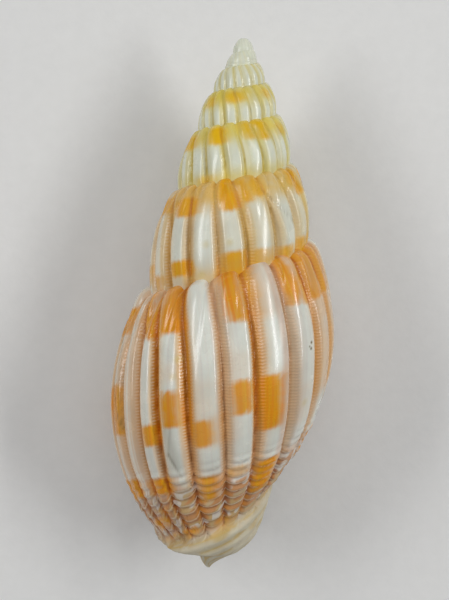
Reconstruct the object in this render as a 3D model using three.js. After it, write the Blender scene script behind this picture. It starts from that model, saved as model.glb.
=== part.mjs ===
// A ribbed, spindle-shaped volute shell lying on its mouth, in millimetres, +Z up.
//
// The shell is one helical sheet. A station counts turns from the apex, and each station has one
// column of points that runs down the outside of its whorl to the seam where the next whorl covers
// it. In the last turn the columns run on below that seam to the tip of the columella. The mouth is
// the slit between the first and the last column of that turn, and a hollow leads in from it.
import * as THREE from 'three';
import { ParametricGeometry } from 'three/addons/geometries/ParametricGeometry.js';
import { mergeGeometries, mergeVertices } from 'three/addons/utils/BufferGeometryUtils.js';

const { clamp, smoothstep, lerp, degToRad } = THREE.MathUtils;

// Length and coiling
const shellLength = 42.4;
const lipStation = 7.76;
const rightSideStation = 7.15; // faces +X before the shell is laid down
const seamSpread = 0.652; // a seam lies seamSpread * seamGrowth ** station - apexCut below the apex
const seamGrowth = 1.57;
const apexCut = 0.9;
const apexStation = 1; // no seam above the apex: the first turn is a dome
const seamSinks = { from: 7.28, deepest: 7.58, climbs: 7.6, back: 7.67, drop: 0.9 };
const seamWave = 0.045; // share of the whorl's height

// Outline of one whorl
const widestRadius = 9.1; // of the whorl whose seam lies widestSeam below the apex
const widestSeam = 19.63;
const wideningPower = 0.72;
const apexBluntness = 0.15;
const apexRadius = 0.72;
const apexBlend = 0.3;
const dome = { depth: 0.75, power: 0.36 }; // the apex is round down to this depth
const bulgePlace = 0.79; // share of the way down a whorl where it is widest
const shoulderStep = 0.22; // share of the bulge that the rounded shoulder takes at once
const shoulderReach = 0.03;
const base = { loss: 0.57, power: 2.1, long: 1.3, short: 1.02, shortening: 1.5 };

// Columella and the band that the siphonal notch leaves round its foot
const pillarRadius = 2.9;
const pillarBlend = { depth: 2, radius: 0.5 };
const foot = { top: 30.5, fall: 10.4, thin: 2.4, thick: 4.4, settled: 0.95, flare: 1.1 };
const footRounding = { start: 1.7, end: 0.7 };
const tip = { offset: 1.1, bendStart: 38.8, roundness: 2.0, power: 0.6 };
const sway = { left: 0.24, at: 37.2, spread: 2.8 }; // the base hangs a little to the left
const notch = { from: 7.3, to: 7.55, start: 40.3, end: 41, tipRadius: 1.5 };

// Ribs
const ribHeight = 0.05; // share of the whorl's radius
const ribSquareness = 2.2;
const ribStart = 1.9; // the first turns are smooth
const ribGrown = 4.9;
const ribsFade = { from: 38.4, to: 41.4 }; // depths on the base
const ribLean = { straight: 0.016, curved: 0.045 }; // turns that a rib's upper end leads by
const ribSpaces = [ // the station of a space between two ribs, and its number; the others lie evenly
	[1, -110], [5.322, -34], [5.437, -32], [6.308, -17], [6.374, -16], [6.433, -15], [6.496, -14],
	[6.549, -13], [6.91, -7], [7.252, 0], [7.304, 1], [7.362, 2], [7.409, 3], [7.463, 4], [7.51, 5],
	[7.541, 6], [7.582, 7], [7.76, 11.5],
];

// Lip, wall and mouth
const wall = 1.1;
const lipSwelling = 0.75;
const callus = 0.5; // on the columella and on the belly beside the mouth
const thinnestWall = 0.45; // left outside the hollow where the base is narrow
const lipSweep = { turn: 0.02, at: 35, spread: 4.5, reach: 0.45 };
const lipRounding = 0.006; // turns that the round edge of the lip stands forward
const mouthTurns = 0.6; // how far the hollow runs in from the lip
const mouthTop = 0.15; // shares of the mouth's height within which the hollow pinches shut
const mouthFoot = { from: 0.88, to: 0.97 };
const mouthFloor = 40.6;
const seamFilling = 1.6; // depth of shell between the seam and the hollow
const leastGap = 0.8;
const hollowEnd = { depth: 30, turn: 0.03 };

// Resting attitude: the shell rolls about its own axis and pitches its tip down, so that it lies
// on two ribs of its belly and on the lip
const restRoll = degToRad(-1.31);
const restPitch = degToRad(2.16);

// Fineness of the facets
const columnsPerTurn = 90;
const rowsPerWhorl = 5;
const whorlRows = [0, 0.05, 0.2, 0.45, 0.75, 1]; // shares of the way down to the next seam
const rowsOnBase = 10;
const rowCrowding = 1.3; // the rows draw closer towards the tip
const mouthRings = 9;
const roundingRings = 2;

const whorlColumns = Math.ceil(lipStation * columnsPerTurn);
const firstStation = lipStation - whorlColumns / columnsPerTurn;
const lastTurnStart = lipStation - 1;
const inLastTurn = (n) => clamp(n - lastTurnStart, 0, 1);

const apexEasing = (n) => clamp(n - apexStation, 0, 1);
const coilDepth = (n) => apexEasing(n) * (seamSpread * seamGrowth ** n - apexCut);
const whorlHeight = (n) => Math.max(coilDepth(n + 1) - coilDepth(n), 1e-6);
const bulgeDepth = (n) => coilDepth(n) + bulgePlace * whorlHeight(n);
const baseLength = (n) => whorlHeight(n) * lerp(base.long, base.short, inLastTurn(n) ** base.shortening);

const softMax = (a, b, blend) => (a + b + Math.hypot(a - b, blend)) / 2;

function bulgeRadius(n) {
	const share = (coilDepth(n) + apexBluntness) / (widestSeam + apexBluntness);
	return softMax(widestRadius * share ** wideningPower, apexRadius, apexBlend);
}

// The whorl below its widest place, without the columella.
function baseRadius(n, depth) {
	const share = Math.max(0, depth - bulgeDepth(n)) / baseLength(n);
	return bulgeRadius(n) * Math.max(0, 1 - base.loss * share ** base.power);
}

// Whole at a space between two ribs, and a half more at the crest after it.
function ribNumber(n) {
	const next = clamp(ribSpaces.findIndex(([station]) => station > n), 1, ribSpaces.length - 1);
	const [before, after] = [ribSpaces[next - 1], ribSpaces[next]];
	return lerp(before[1], after[1], (n - before[0]) / (after[0] - before[0]));
}

// Broad round ribs with narrow spaces between them: 1 on a crest, 0 midway between two.
function ribCrest(n, depth) {
	const rowShare = (bulgeDepth(n) - depth) / whorlHeight(n);
	const lead = ribLean.straight * rowShare + ribLean.curved * Math.max(0, rowShare) ** 2;
	const number = ribNumber(n - lead);
	const offCrest = 1 - 2 * Math.abs(number - Math.round(number));
	return (1 - offCrest ** ribSquareness) * smoothstep(n, ribStart, ribGrown);
}

// Height of the ribs as a share of the radius.
function ribRise(n, depth) {
	return ribHeight * ribCrest(n, depth) * (1 - smoothstep(depth, ribsFade.from, ribsFade.to));
}

// The seam sinks before the lip, climbs again at the lip, and rises over each rib's upper end.
function seamDepth(n) {
	const sunk = smoothstep(n, seamSinks.from, seamSinks.deepest);
	const climbed = smoothstep(n, seamSinks.climbs, seamSinks.back);
	const aboveMiddle = (ribCrest(n, coilDepth(n)) - 0.5) * smoothstep(n, ribStart, ribGrown);
	const wave = seamWave * whorlHeight(n) * aboveMiddle;
	return coilDepth(n) + seamSinks.drop * (sunk - climbed) - wave;
}

// A seam lies on the ribs of the whorl above it.
const seamRadius = (n) => baseRadius(n - 1, seamDepth(n)) * (1 + ribRise(n - 1, seamDepth(n)));
const roundApex = (depth) => clamp(depth / dome.depth, 0, 1) ** dome.power;

// The columella, swollen into the band round its foot.
function pillarAt(n, depth) {
	const share = inLastTurn(n);
	const ridge = foot.top + foot.fall * smoothstep(share, 0, foot.settled);
	const swelling = lerp(foot.thin, foot.thick, 1 - (1 - share) ** 2);
	const ridgeRadius = Math.max(swelling, pillarRadius);
	if (depth < ridge) {
		return lerp(pillarRadius, ridgeRadius, Math.exp((depth - ridge) / foot.flare));
	}
	const belowRidge = clamp((depth - ridge) / (shellLength - ridge), 0, 1);
	return ridgeRadius * (1 - belowRidge ** footRounding.start) ** footRounding.end;
}

// Radius of a whorl at a station and a depth below the apex.
function whorlRadius(n, depth, ribShare = 1) {
	const top = seamDepth(n);
	const widest = bulgeDepth(n);
	const ribs = 1 + ribShare * ribRise(n, depth);
	let radius = baseRadius(n, depth) * ribs;
	if (depth < widest) {
		const down = clamp((depth - top) / (widest - top), 0, 1);
		const shoulder = 1 - Math.exp(-down / shoulderReach);
		const rise = shoulderStep * shoulder + (1 - shoulderStep) * (1 - (1 - down) ** 2);
		radius = lerp(seamRadius(n), bulgeRadius(n) * ribs, rise);
	}
	const seamBelow = seamDepth(n + 1);
	if (depth <= seamBelow) return radius * roundApex(depth);
	const below = smoothstep(depth, seamBelow, seamBelow + pillarBlend.depth);
	const nearTip = clamp((shellLength - depth) / tip.roundness, 0, 1) ** tip.power;
	radius = lerp(radius, softMax(radius, pillarAt(n, depth), pillarBlend.radius), below) * nearTip;
	const notched = smoothstep(n, notch.from, notch.to) * smoothstep(depth, notch.start, notch.end);
	return lerp(radius, Math.min(radius, notch.tipRadius * nearTip), notched);
}

// A point at a station, a depth and a radius, with the foot bent a little to the left.
function place(n, depth, radius, target) {
	const angle = (n - rightSideStation) * 2 * Math.PI;
	const bend = tip.offset * smoothstep(depth, tip.bendStart, shellLength);
	const left = bend + sway.left * Math.exp(-(((depth - sway.at) / sway.spread) ** 2));
	return target.set(radius * Math.cos(angle) - left, -depth, radius * Math.sin(angle));
}

// The lip sweeps forward over the base.
function sweptStation(n, depth) {
	const forward = lipSweep.turn * Math.exp(-(((depth - lipSweep.at) / lipSweep.spread) ** 2));
	return n + forward * smoothstep(n, lipStation - lipSweep.reach, lipStation);
}

const baseRow = (n, share) => lerp(seamDepth(n + 1), shellLength, 1 - (1 - share) ** rowCrowding);

// The whorls, from the apex to the lip, each down to the seam of the next.
function whorls() {
	const turns = lipStation - firstStation;
	return new ParametricGeometry((u, v, target) => {
		const n = firstStation + turns * u;
		const depth = lerp(seamDepth(n), seamDepth(n + 1), whorlRows[Math.round(v * rowsPerWhorl)]);
		place(sweptStation(n, depth), depth, whorlRadius(n, depth), target);
	}, whorlColumns, rowsPerWhorl);
}

function lastBase() {
	return new ParametricGeometry((u, v, target) => {
		const n = lastTurnStart + u;
		const depth = baseRow(n, v);
		place(sweptStation(n, depth), depth, whorlRadius(n, depth), target);
	}, columnsPerTurn, rowsOnBase);
}

// The mouth's rows run down the columella and back up the lip.
function mouthRowDepth(row, n) {
	if (row <= rowsOnBase) return baseRow(n, row / rowsOnBase);
	const upBase = row - rowsOnBase;
	if (upBase <= rowsOnBase) return baseRow(n, 1 - upBase / rowsOnBase);
	const rowOnWhorl = whorlRows[rowsPerWhorl - (upBase - rowsOnBase)];
	return lerp(seamDepth(n), seamDepth(n + 1), rowOnWhorl);
}

// Inner and outer radius of the hollow at a number of turns back from the lip. It is a slit that
// pinches shut at its top and its foot.
function hollowAt(back, depth, share, thickness, lining) {
	const belowSeam = smoothstep(share, 0, mouthTop);
	const opening = belowSeam * (1 - smoothstep(share, mouthFoot.from, mouthFoot.to));
	const columella = whorlRadius(lastTurnStart - back, depth, 0) + lining * belowSeam;
	const outside = whorlRadius(lipStation - back, depth, 0);
	const gap = Math.max(outside - thickness - columella, leastGap) * opening;
	const leastWall = Math.min(thickness, thinnestWall, outside / 2) * belowSeam;
	const outer = Math.min(columella + gap, outside - leastWall);
	return { inner: Math.min(columella, outer - leastGap * opening), outer, belowSeam };
}

// The mouth's rings round the edge of the lip first, then lead inwards, and the last one draws
// together to a point.
function mouth() {
	const rows = 2 * rowsOnBase + rowsPerWhorl;
	return new ParametricGeometry((u, v, target) => {
		const row = Math.round(u * rows);
		const ring = Math.round(v * mouthRings);
		const onColumella = row <= rowsOnBase;
		const n = onColumella ? lastTurnStart : lipStation;
		const depth = mouthRowDepth(row, n);
		if (ring === 0) return place(sweptStation(n, depth), depth, whorlRadius(n, depth), target);

		const rounded = Math.min(1, ring / roundingRings);
		const lastRing = mouthRings - 1;
		const inwards = Math.max(0, Math.min(ring, lastRing) - roundingRings) / (lastRing - roundingRings);
		const back = mouthTurns * inwards;
		const thickness = (wall + lipSwelling * (1 - inwards)) * rounded;
		if (ring > lastRing) {
			const end = hollowAt(back, hollowEnd.depth, 0.5, thickness, callus);
			return place(lipStation - back - hollowEnd.turn, hollowEnd.depth, (end.inner + end.outer) / 2, target);
		}

		const ringTop = seamDepth(lipStation) + seamFilling * rounded;
		const ringFoot = lerp(shellLength, mouthFloor, (rounded + inwards) / 2);
		const share = (depth - seamDepth(lipStation)) / (shellLength - seamDepth(lipStation));
		const ringDepth = lerp(ringTop, ringFoot, share);
		const hollow = hollowAt(back, ringDepth, share, thickness, callus * rounded);
		if (onColumella) return place(n - back, ringDepth, hollow.inner, target);
		const forward = sweptStation(n, ringDepth) - n + (ring < roundingRings ? lipRounding : 0);
		return place(n - back + forward * hollow.belowSeam, ringDepth, hollow.outer, target);
	}, rows, mouthRings);
}

const sheets = [whorls(), lastBase(), mouth()];
sheets.forEach((sheet) => {
	sheet.deleteAttribute('normal');
	sheet.deleteAttribute('uv');
});
const shellGeometry = mergeVertices(mergeGeometries(sheets), 1e-3);
shellGeometry.rotateY(restRoll).rotateX(restPitch);
shellGeometry.computeBoundingBox();
const box = shellGeometry.boundingBox;
const centre = box.getCenter(new THREE.Vector3());
shellGeometry.translate(-centre.x, -centre.y, -box.min.z);
shellGeometry.computeVertexNormals();

const enamel = new THREE.MeshStandardMaterial({ color: 0xf3e0cf, roughness: 0.28, metalness: 0 });
const shell = new THREE.Mesh(shellGeometry, enamel);
shell.name = 'shell';

const part = new THREE.Group();
part.name = 'lyria_shell';
part.add(shell);

export default part;
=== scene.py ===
"""A ribbed volute shell lying on its mouth on a pale studio floor, seen from above its back.

The shell is one helical sheet. A station counts turns from the apex, and each station has one column
of points that runs down the outside of its whorl. In the last turn the columns run on to the tip of
the columella. The surface is worked out in millimetres, with the apex at the origin and the axis
along -Y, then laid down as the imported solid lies. Rib numbers count the spaces between the ribs:
whole in a space, and a half more at the crest after it.
"""
import math

import bpy
import numpy as np
from mathutils import Matrix, Vector


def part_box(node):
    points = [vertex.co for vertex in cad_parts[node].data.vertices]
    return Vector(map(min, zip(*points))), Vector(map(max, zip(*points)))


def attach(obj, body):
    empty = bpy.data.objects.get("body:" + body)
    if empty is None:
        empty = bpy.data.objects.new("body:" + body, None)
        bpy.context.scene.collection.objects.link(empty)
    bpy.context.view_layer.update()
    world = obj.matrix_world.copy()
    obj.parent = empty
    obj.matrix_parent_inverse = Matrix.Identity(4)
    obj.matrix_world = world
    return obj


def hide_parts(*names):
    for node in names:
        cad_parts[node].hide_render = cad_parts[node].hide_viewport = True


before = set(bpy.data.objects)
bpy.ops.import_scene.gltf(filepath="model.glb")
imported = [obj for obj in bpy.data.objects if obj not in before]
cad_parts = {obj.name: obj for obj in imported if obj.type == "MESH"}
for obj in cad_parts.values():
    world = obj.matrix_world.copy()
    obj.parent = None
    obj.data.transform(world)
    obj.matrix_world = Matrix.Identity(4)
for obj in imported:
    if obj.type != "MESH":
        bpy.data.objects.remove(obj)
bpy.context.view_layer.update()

MM = 0.001
TURN = 2 * math.pi

# Length and coiling
SHELL_LENGTH = 42.4
LIP_STATION = 7.76
LAST_TURN_START = LIP_STATION - 1
RIGHT_SIDE_STATION = 7.15
SEAM_SPREAD = 0.652
SEAM_GROWTH = 1.57
APEX_CUT = 0.9
APEX_STATION = 1
SEAM_DROP = {"sinks": (7.28, 7.58), "climbs": (7.6, 7.67), "depth": 0.9}
SEAM_WAVE = 0.05

# Outline of one whorl
WIDEST_RADIUS = 9.1
WIDEST_SEAM = 19.63
WIDENING_POWER = 0.72
APEX_BLUNTNESS = 0.15
APEX_RADIUS = 0.72
APEX_BLEND = 0.3
DOME_DEPTH = 0.75
DOME_POWER = 0.36
BULGE_PLACE = 0.79
SHOULDER = {"step": 0.22, "reach": 0.03, "sets_in": (1.5, 4)}
BASE = {"loss": 0.57, "power": 2.1, "long": 1.3, "short": 1.02, "shortening": 1.5}

# Columella and the band round its foot
PILLAR_RADIUS = 2.9
PILLAR_BLEND = {"depth": 2, "radius": 0.5}
FOOT = {"top": 30.5, "fall": 10.4, "thin": 2.4, "thick": 4.4, "settled": 0.95, "flare": 1.1}
FOOT_ROUNDING = {"start": 1.7, "end": 0.7}
TIP = {"offset": 1.1, "bend_start": 38.8, "roundness": 2.0, "power": 0.6}
SWAY = {"left": 0.24, "at": 37.2, "spread": 2.8}  # the base hangs a little to the left
NOTCH = {"stations": (7.3, 7.55), "depths": (40.3, 41.0), "tip_radius": 1.5}

# Ribs
RIB_HEIGHT = 0.05
RIB_SQUARENESS = 2.7
CHANNEL = {"depth": 0.04, "side": (0.5, 0.9), "filled_on_base": 0.8}  # below the ribs' own curve
GROOVE_PLACE = 0.05  # how far left of a space's number its groove is deepest, as a share of a rib
RIB_SKEW = 0.76  # below 1 a rib is steep on its right and gentle on its left
RIBS_GROW = (1.9, 4.3)  # stations
RIBS_FADE = (37.0, 41.0)  # depths
RIB_LEAN = {"straight": 0.016, "curved": 0.045}
# Ribs that lean less: between stations, from none to full and from full to none again
UPRIGHT_RIBS = [(6.43, 6.47, 6.53, 6.58), (7.0, 7.15, 7.35, 7.48)]
UPRIGHT_LESS = {"straight": 0.62, "curved": 0.33}
RIB_SPACES = [  # the station of a space between two ribs, and its number; the others lie evenly
    (1, -110), (5.322, -34), (5.437, -32), (6.308, -17), (6.374, -16), (6.433, -15), (6.496, -14),
    (6.549, -13), (6.91, -7), (7.252, 0), (7.304, 1), (7.362, 2), (7.409, 3), (7.461, 4), (7.51, 5),
    (7.541, 6), (7.582, 7), (7.76, 11.5),
]

# Lip, wall and mouth
WALL = 1.1
LIP_SWELLING = 0.75
THINNEST_WALL = 0.45
CALLUS = 0.5
LIP_SWEEP = {"turn": 0.02, "at": 35, "spread": 4.5, "reach": 0.45}
LIP_ROUNDING = 0.006
MOUTH_TURNS = 0.6
MOUTH_TOP = 0.15
MOUTH_FOOT = (0.88, 0.97)
MOUTH_FLOOR = 40.6
SEAM_FILLING = 1.6
LEAST_GAP = 0.8
HOLLOW_END = {"depth": 30, "turn": 0.03}

# Resting attitude
REST_ROLL = math.radians(-1.31)
REST_PITCH = math.radians(2.16)

# Fine relief, in millimetres
CORDS = {
    "per_whorl": 15.6, "sets_in": (1.27, 1.5), "height": 0.2, "sunk": 0.8, "peak": 0.78,
    "on_spaces": 0.8, "scallop": 0.9, "uneven": 0.35, "uneven_by_rib": 2.3, "uneven_by_cord": 1.7,
    "near_lip": 0.5, "lip_ribs": (4.6, 6.8), "ends_at_foot": (-1, 0.3),
}
FOOT_RIDGES = {
    "spacing": 1.05, "count": 4, "height": 0.13, "sets_in": (-0.2, 0.4), "fades": (40.8, 41.9),
}
PLAITS = [  # depth on the columella, width and height of each spiral fold
    (31.0, 0.35, 0.12), (32.6, 0.4, 0.18), (34.2, 0.5, 0.3), (36.0, 0.6, 0.5), (37.8, 0.6, 0.5),
]
PLAIT_SLOPE = 3.0  # how far a fold climbs in one turn back
UNEVENNESS = {"height": 0.022, "sets_in": (3, 6)}
SLOW_WAVES = [(23.0, 5.0, 0.0), (41.0, -7.0, 2.0)]  # radians a turn, radians down a whorl, start
THREAD_SPACING = 0.25

# Fineness of the mesh
COLUMNS_PER_TURN = [(2, 420), (2, 210), (3.76, 105)]  # turns back from the lip, and columns in each
ROWS_PER_WHORL = 26
ROWS_TO_SHOULDER = {"share": 0.55, "power": 1.8}  # how far the rows are drawn up to the shoulder
ROWS_ON_BASE = 110
ROW_CROWDING = 1.15
ROUNDING_RINGS = 6
MOUTH_RINGS = 24
WELD_STEPS = 2e4  # in a millimetre: points on the same step become one
CREASE = math.radians(58)


def smoothstep(x, start, end):
    share = np.clip((x - start) / (end - start), 0, 1)
    return share * share * (3 - 2 * share)


def lerp(a, b, share):
    return a + (b - a) * share


def bell(x, middle, spread):
    return np.exp(-(((x - middle) / spread) ** 2))


def soft_max(a, b, blend):
    return (a + b + np.hypot(a - b, blend)) / 2


def in_last_turn(n):
    return np.clip(n - LAST_TURN_START, 0, 1)


def coil_depth(n):
    return np.clip(n - APEX_STATION, 0, 1) * (SEAM_SPREAD * SEAM_GROWTH**n - APEX_CUT)


def whorl_height(n):
    return np.maximum(coil_depth(n + 1) - coil_depth(n), 1e-6)


def bulge_depth(n):
    return coil_depth(n) + BULGE_PLACE * whorl_height(n)


def spiral_share(n, depth):
    """How far down a whorl a point is: 0 at its upper seam and 1 at the next."""
    return (depth - coil_depth(n)) / whorl_height(n)


def bulge_radius(n):
    share = (coil_depth(n) + APEX_BLUNTNESS) / (WIDEST_SEAM + APEX_BLUNTNESS)
    return soft_max(WIDEST_RADIUS * share**WIDENING_POWER, APEX_RADIUS, APEX_BLEND)


def base_radius(n, depth):
    """The whorl below its widest place, without the columella."""
    length = whorl_height(n) * lerp(BASE["long"], BASE["short"], in_last_turn(n) ** BASE["shortening"])
    share = np.maximum(0, depth - bulge_depth(n)) / length
    return bulge_radius(n) * np.maximum(0, 1 - BASE["loss"] * share ** BASE["power"])


def rib_number(n):
    stations, numbers = np.array(RIB_SPACES).T
    first_rate = (numbers[1] - numbers[0]) / (stations[1] - stations[0])
    before = np.minimum(0, n - stations[0]) * first_rate
    last_rate = (numbers[-1] - numbers[-2]) / (stations[-1] - stations[-2])
    after = np.maximum(0, n - stations[-1]) * last_rate
    return np.interp(n, stations, numbers) + before + after


def leaning_rib_number(n, depth):
    row_share = (bulge_depth(n) - depth) / whorl_height(n)
    upright = sum(smoothstep(n, a, b) * (1 - smoothstep(n, c, d)) for a, b, c, d in UPRIGHT_RIBS)
    upright = upright * (row_share > 0)
    straight = RIB_LEAN["straight"] * (1 - UPRIGHT_LESS["straight"] * upright)
    curved = RIB_LEAN["curved"] * (1 - UPRIGHT_LESS["curved"] * upright)
    return rib_number(n - straight * row_share - curved * np.maximum(0, row_share) ** 2)


def off_crest(n, depth):
    """0 on a rib's crest and 1 midway between two ribs."""
    left_of_groove = (leaning_rib_number(n, depth) - GROOVE_PLACE) % 1
    return np.abs(1 - 2 * left_of_groove**RIB_SKEW)


def among_cords(n, depth):
    return smoothstep(spiral_share(n, depth), *CORDS["sets_in"])


def ribs_grown(n):
    return smoothstep(n, *RIBS_GROW)


def rib_crest(n, depth):
    """Broad round ribs with narrow spaces between them: 1 on a crest, 0 midway between two."""
    return (1 - off_crest(n, depth) ** RIB_SQUARENESS) * ribs_grown(n)


def rib_rise(n, depth):
    """Height of the ribs, and depth of the channels between them, as a share of the radius."""
    channel = smoothstep(off_crest(n, depth), *CHANNEL["side"]) * ribs_grown(n)
    channel = channel * (1 - CHANNEL["filled_on_base"] * among_cords(n, depth))
    fading = 1 - smoothstep(depth, *RIBS_FADE)
    return (RIB_HEIGHT * rib_crest(n, depth) - CHANNEL["depth"] * channel) * fading


def seam_depth(n):
    """The seam sinks before the lip, climbs again at the lip, and rises over each rib's upper end."""
    sunk = smoothstep(n, *SEAM_DROP["sinks"]) - smoothstep(n, *SEAM_DROP["climbs"])
    above_middle = (rib_crest(n, coil_depth(n)) - 0.5) * ribs_grown(n)
    wave = SEAM_WAVE * whorl_height(n) * above_middle
    return coil_depth(n) + SEAM_DROP["depth"] * sunk - wave


def seam_radius(n):
    depth = seam_depth(n)
    return base_radius(n - 1, depth) * (1 + rib_rise(n - 1, depth))


def foot_ridge_depth(n):
    return FOOT["top"] + FOOT["fall"] * smoothstep(in_last_turn(n), 0, FOOT["settled"])


def pillar_at(n, depth):
    """The columella, swollen into the band round its foot."""
    share = in_last_turn(n)
    ridge = foot_ridge_depth(n)
    swelling = lerp(FOOT["thin"], FOOT["thick"], 1 - (1 - share) ** 2)
    ridge_radius = np.maximum(swelling, PILLAR_RADIUS)
    flare = np.exp(np.minimum(0, depth - ridge) / FOOT["flare"])
    below = np.clip((depth - ridge) / (SHELL_LENGTH - ridge), 0, 1)
    foot_radius = ridge_radius * (1 - below ** FOOT_ROUNDING["start"]) ** FOOT_ROUNDING["end"]
    return np.where(depth < ridge, lerp(PILLAR_RADIUS, ridge_radius, flare), foot_radius)


def whorl_radius(n, depth, rib_share=1):
    """Radius of a whorl at a station and a depth below the apex."""
    top = seam_depth(n)
    widest = bulge_depth(n)
    ribs = 1 + rib_share * rib_rise(n, depth)
    down = np.clip((depth - top) / np.maximum(widest - top, 1e-6), 0, 1)
    shoulder = (1 - np.exp(-down / SHOULDER["reach"])) * smoothstep(n, *SHOULDER["sets_in"])
    rise = SHOULDER["step"] * shoulder + (1 - SHOULDER["step"]) * (1 - (1 - down) ** 2)
    upper = lerp(seam_radius(n), bulge_radius(n) * ribs, rise)
    radius = np.where(depth < widest, upper, base_radius(n, depth) * ribs)
    round_apex = np.clip(depth / DOME_DEPTH, 0, 1) ** DOME_POWER
    seam_below = seam_depth(n + 1)
    below = smoothstep(depth, seam_below, seam_below + PILLAR_BLEND["depth"])
    near_tip = np.clip((SHELL_LENGTH - depth) / TIP["roundness"], 0, 1) ** TIP["power"]
    base = lerp(radius, soft_max(radius, pillar_at(n, depth), PILLAR_BLEND["radius"]), below) * near_tip
    notched = smoothstep(n, *NOTCH["stations"]) * smoothstep(depth, *NOTCH["depths"])
    base = lerp(base, np.minimum(base, NOTCH["tip_radius"] * near_tip), notched)
    return np.where(depth <= seam_below, radius * round_apex, base)


def swept_station(n, depth):
    """The lip sweeps forward over the base."""
    forward = LIP_SWEEP["turn"] * bell(depth, LIP_SWEEP["at"], LIP_SWEEP["spread"])
    return n + forward * smoothstep(n, LIP_STATION - LIP_SWEEP["reach"], LIP_STATION)


def place(n, depth, radius):
    """Points at stations, depths and radii, with the foot bent a little to the left."""
    angle = (n - RIGHT_SIDE_STATION) * TURN
    bend = TIP["offset"] * smoothstep(depth, TIP["bend_start"], SHELL_LENGTH)
    bend = bend + SWAY["left"] * bell(depth, SWAY["at"], SWAY["spread"])
    return np.stack([radius * np.cos(angle) - bend, -depth, radius * np.sin(angle)], axis=-1)


def laid_down(points):
    """Turns points or directions from the shell's upright frame into its resting attitude."""
    turn = Matrix.Rotation(REST_PITCH, 3, "X") @ Matrix.Rotation(REST_ROLL, 3, "Y")
    return points @ np.array(turn).T


def cord_phase(n, depth):
    """Counts the spiral cords down a whorl; each one bows down over the ribs."""
    return spiral_share(n, depth) * CORDS["per_whorl"] - CORDS["scallop"] * rib_crest(n, depth)


def cord_relief(n, depth):
    """Spiral cords on the base, beaded where they cross the ribs, steeper on their lower side."""
    phase = cord_phase(n, depth) % 1
    peak = CORDS["peak"]
    profile = np.where(phase < peak, phase / peak, (1 - phase) / (1 - peak))
    rounded = profile * profile * (3 - 2 * profile)
    beads = lerp(CORDS["on_spaces"], 1, rib_crest(n, depth))
    cord = np.floor(cord_phase(n, depth))
    varied = np.sin(CORDS["uneven_by_rib"] * rib_number(n) + CORDS["uneven_by_cord"] * cord)
    beads = beads * (1 + CORDS["uneven"] * varied)
    beads = beads * lerp(1, CORDS["near_lip"], smoothstep(rib_number(n), *CORDS["lip_ribs"]))
    above_foot = 1 - smoothstep(depth - foot_ridge_depth(n), *CORDS["ends_at_foot"])
    window = among_cords(n, depth) * above_foot
    return CORDS["height"] * (rounded * beads - CORDS["sunk"]) * window


def foot_phase(n, depth):
    """Counts the ridges round the foot, from 0 at the first."""
    return (depth - foot_ridge_depth(n)) / FOOT_RIDGES["spacing"]


def foot_relief(n, depth):
    """The ridges that fan round the foot, below the last cord."""
    below = foot_phase(n, depth)
    profile = np.sin(below * math.pi) ** 2
    last = FOOT_RIDGES["count"]
    window = smoothstep(below, *FOOT_RIDGES["sets_in"]) * (1 - smoothstep(below, last - 1, last))
    near_tip = 1 - smoothstep(depth, *FOOT_RIDGES["fades"])
    return FOOT_RIDGES["height"] * profile * window * near_tip


def unevenness(n, depth):
    """The slow waviness of a grown surface."""
    share = (depth - seam_depth(n)) / np.maximum(seam_depth(n + 1) - seam_depth(n), 1e-6)
    slow = sum(np.sin(n * along + share * down + start) for along, down, start in SLOW_WAVES)
    off_seams = np.sin(np.clip(share, 0, 1) * math.pi)
    return UNEVENNESS["height"] * slow * off_seams * smoothstep(n, *UNEVENNESS["sets_in"])


def rib_spacing(n):
    """Width of one rib and its space, in millimetres round the widest place."""
    step = 1e-3
    ribs_per_turn = np.maximum(rib_number(n + step) - rib_number(n), 1e-9) / step
    return bulge_radius(n) * TURN / ribs_per_turn


def scar_nearness(n, depth, scar):
    """1 on the line of a scar, falling to 0 beside it and past its ends."""
    (start, end), (top, bottom), width, _, _ = scar
    share = (spiral_share(n, depth) - top) / (bottom - top)
    beside = (leaning_rib_number(n, depth) - lerp(start, end, share)) * rib_spacing(n)
    short_of_ends = smoothstep(share, -0.1, 0.1) * smoothstep(share, 1.1, 0.9)
    return bell(beside, 0, width) * short_of_ends


def scar_relief(n, depth):
    return sum(scar[3] * scar_nearness(n, depth, scar) for scar in SCARS)


def outer_radius(n, depth):
    """The finished outside: the whorl with its cords, foot ridges, scars and unevenness."""
    on_base = depth > seam_depth(n + 1)
    fine = np.where(on_base, cord_relief(n, depth) + foot_relief(n, depth), unevenness(n, depth))
    return whorl_radius(n, depth) + fine + scar_relief(n, depth)


def outer_points(n, depth):
    return place(swept_station(n, depth), depth, outer_radius(n, depth))


def base_row(n, share):
    return lerp(seam_depth(n + 1), SHELL_LENGTH, 1 - (1 - share) ** ROW_CROWDING)


def whorl_rows():
    """Shares of the way down a whorl, closer at the shoulder."""
    even = np.linspace(0, 1, ROWS_PER_WHORL + 1)
    return lerp(even, even ** ROWS_TO_SHOULDER["power"], ROWS_TO_SHOULDER["share"])


def whorl_stations():
    """Stations of the columns from the apex to the lip, closer in the last turns."""
    starts = np.cumsum([0] + [turns for turns, _ in COLUMNS_PER_TURN])
    steps = [
        start + np.arange(int(turns * columns)) / columns
        for start, (turns, columns) in zip(starts, COLUMNS_PER_TURN)
    ]
    return LIP_STATION - np.concatenate(steps)[::-1]


def whorls():
    """Stations and depths of the whorls, from the apex to the lip, each down to the next seam."""
    n = whorl_stations()[:, None]
    depth = lerp(seam_depth(n), seam_depth(n + 1), whorl_rows()[None, :])
    return n + 0 * depth, depth, outer_points(n, depth)


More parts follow.
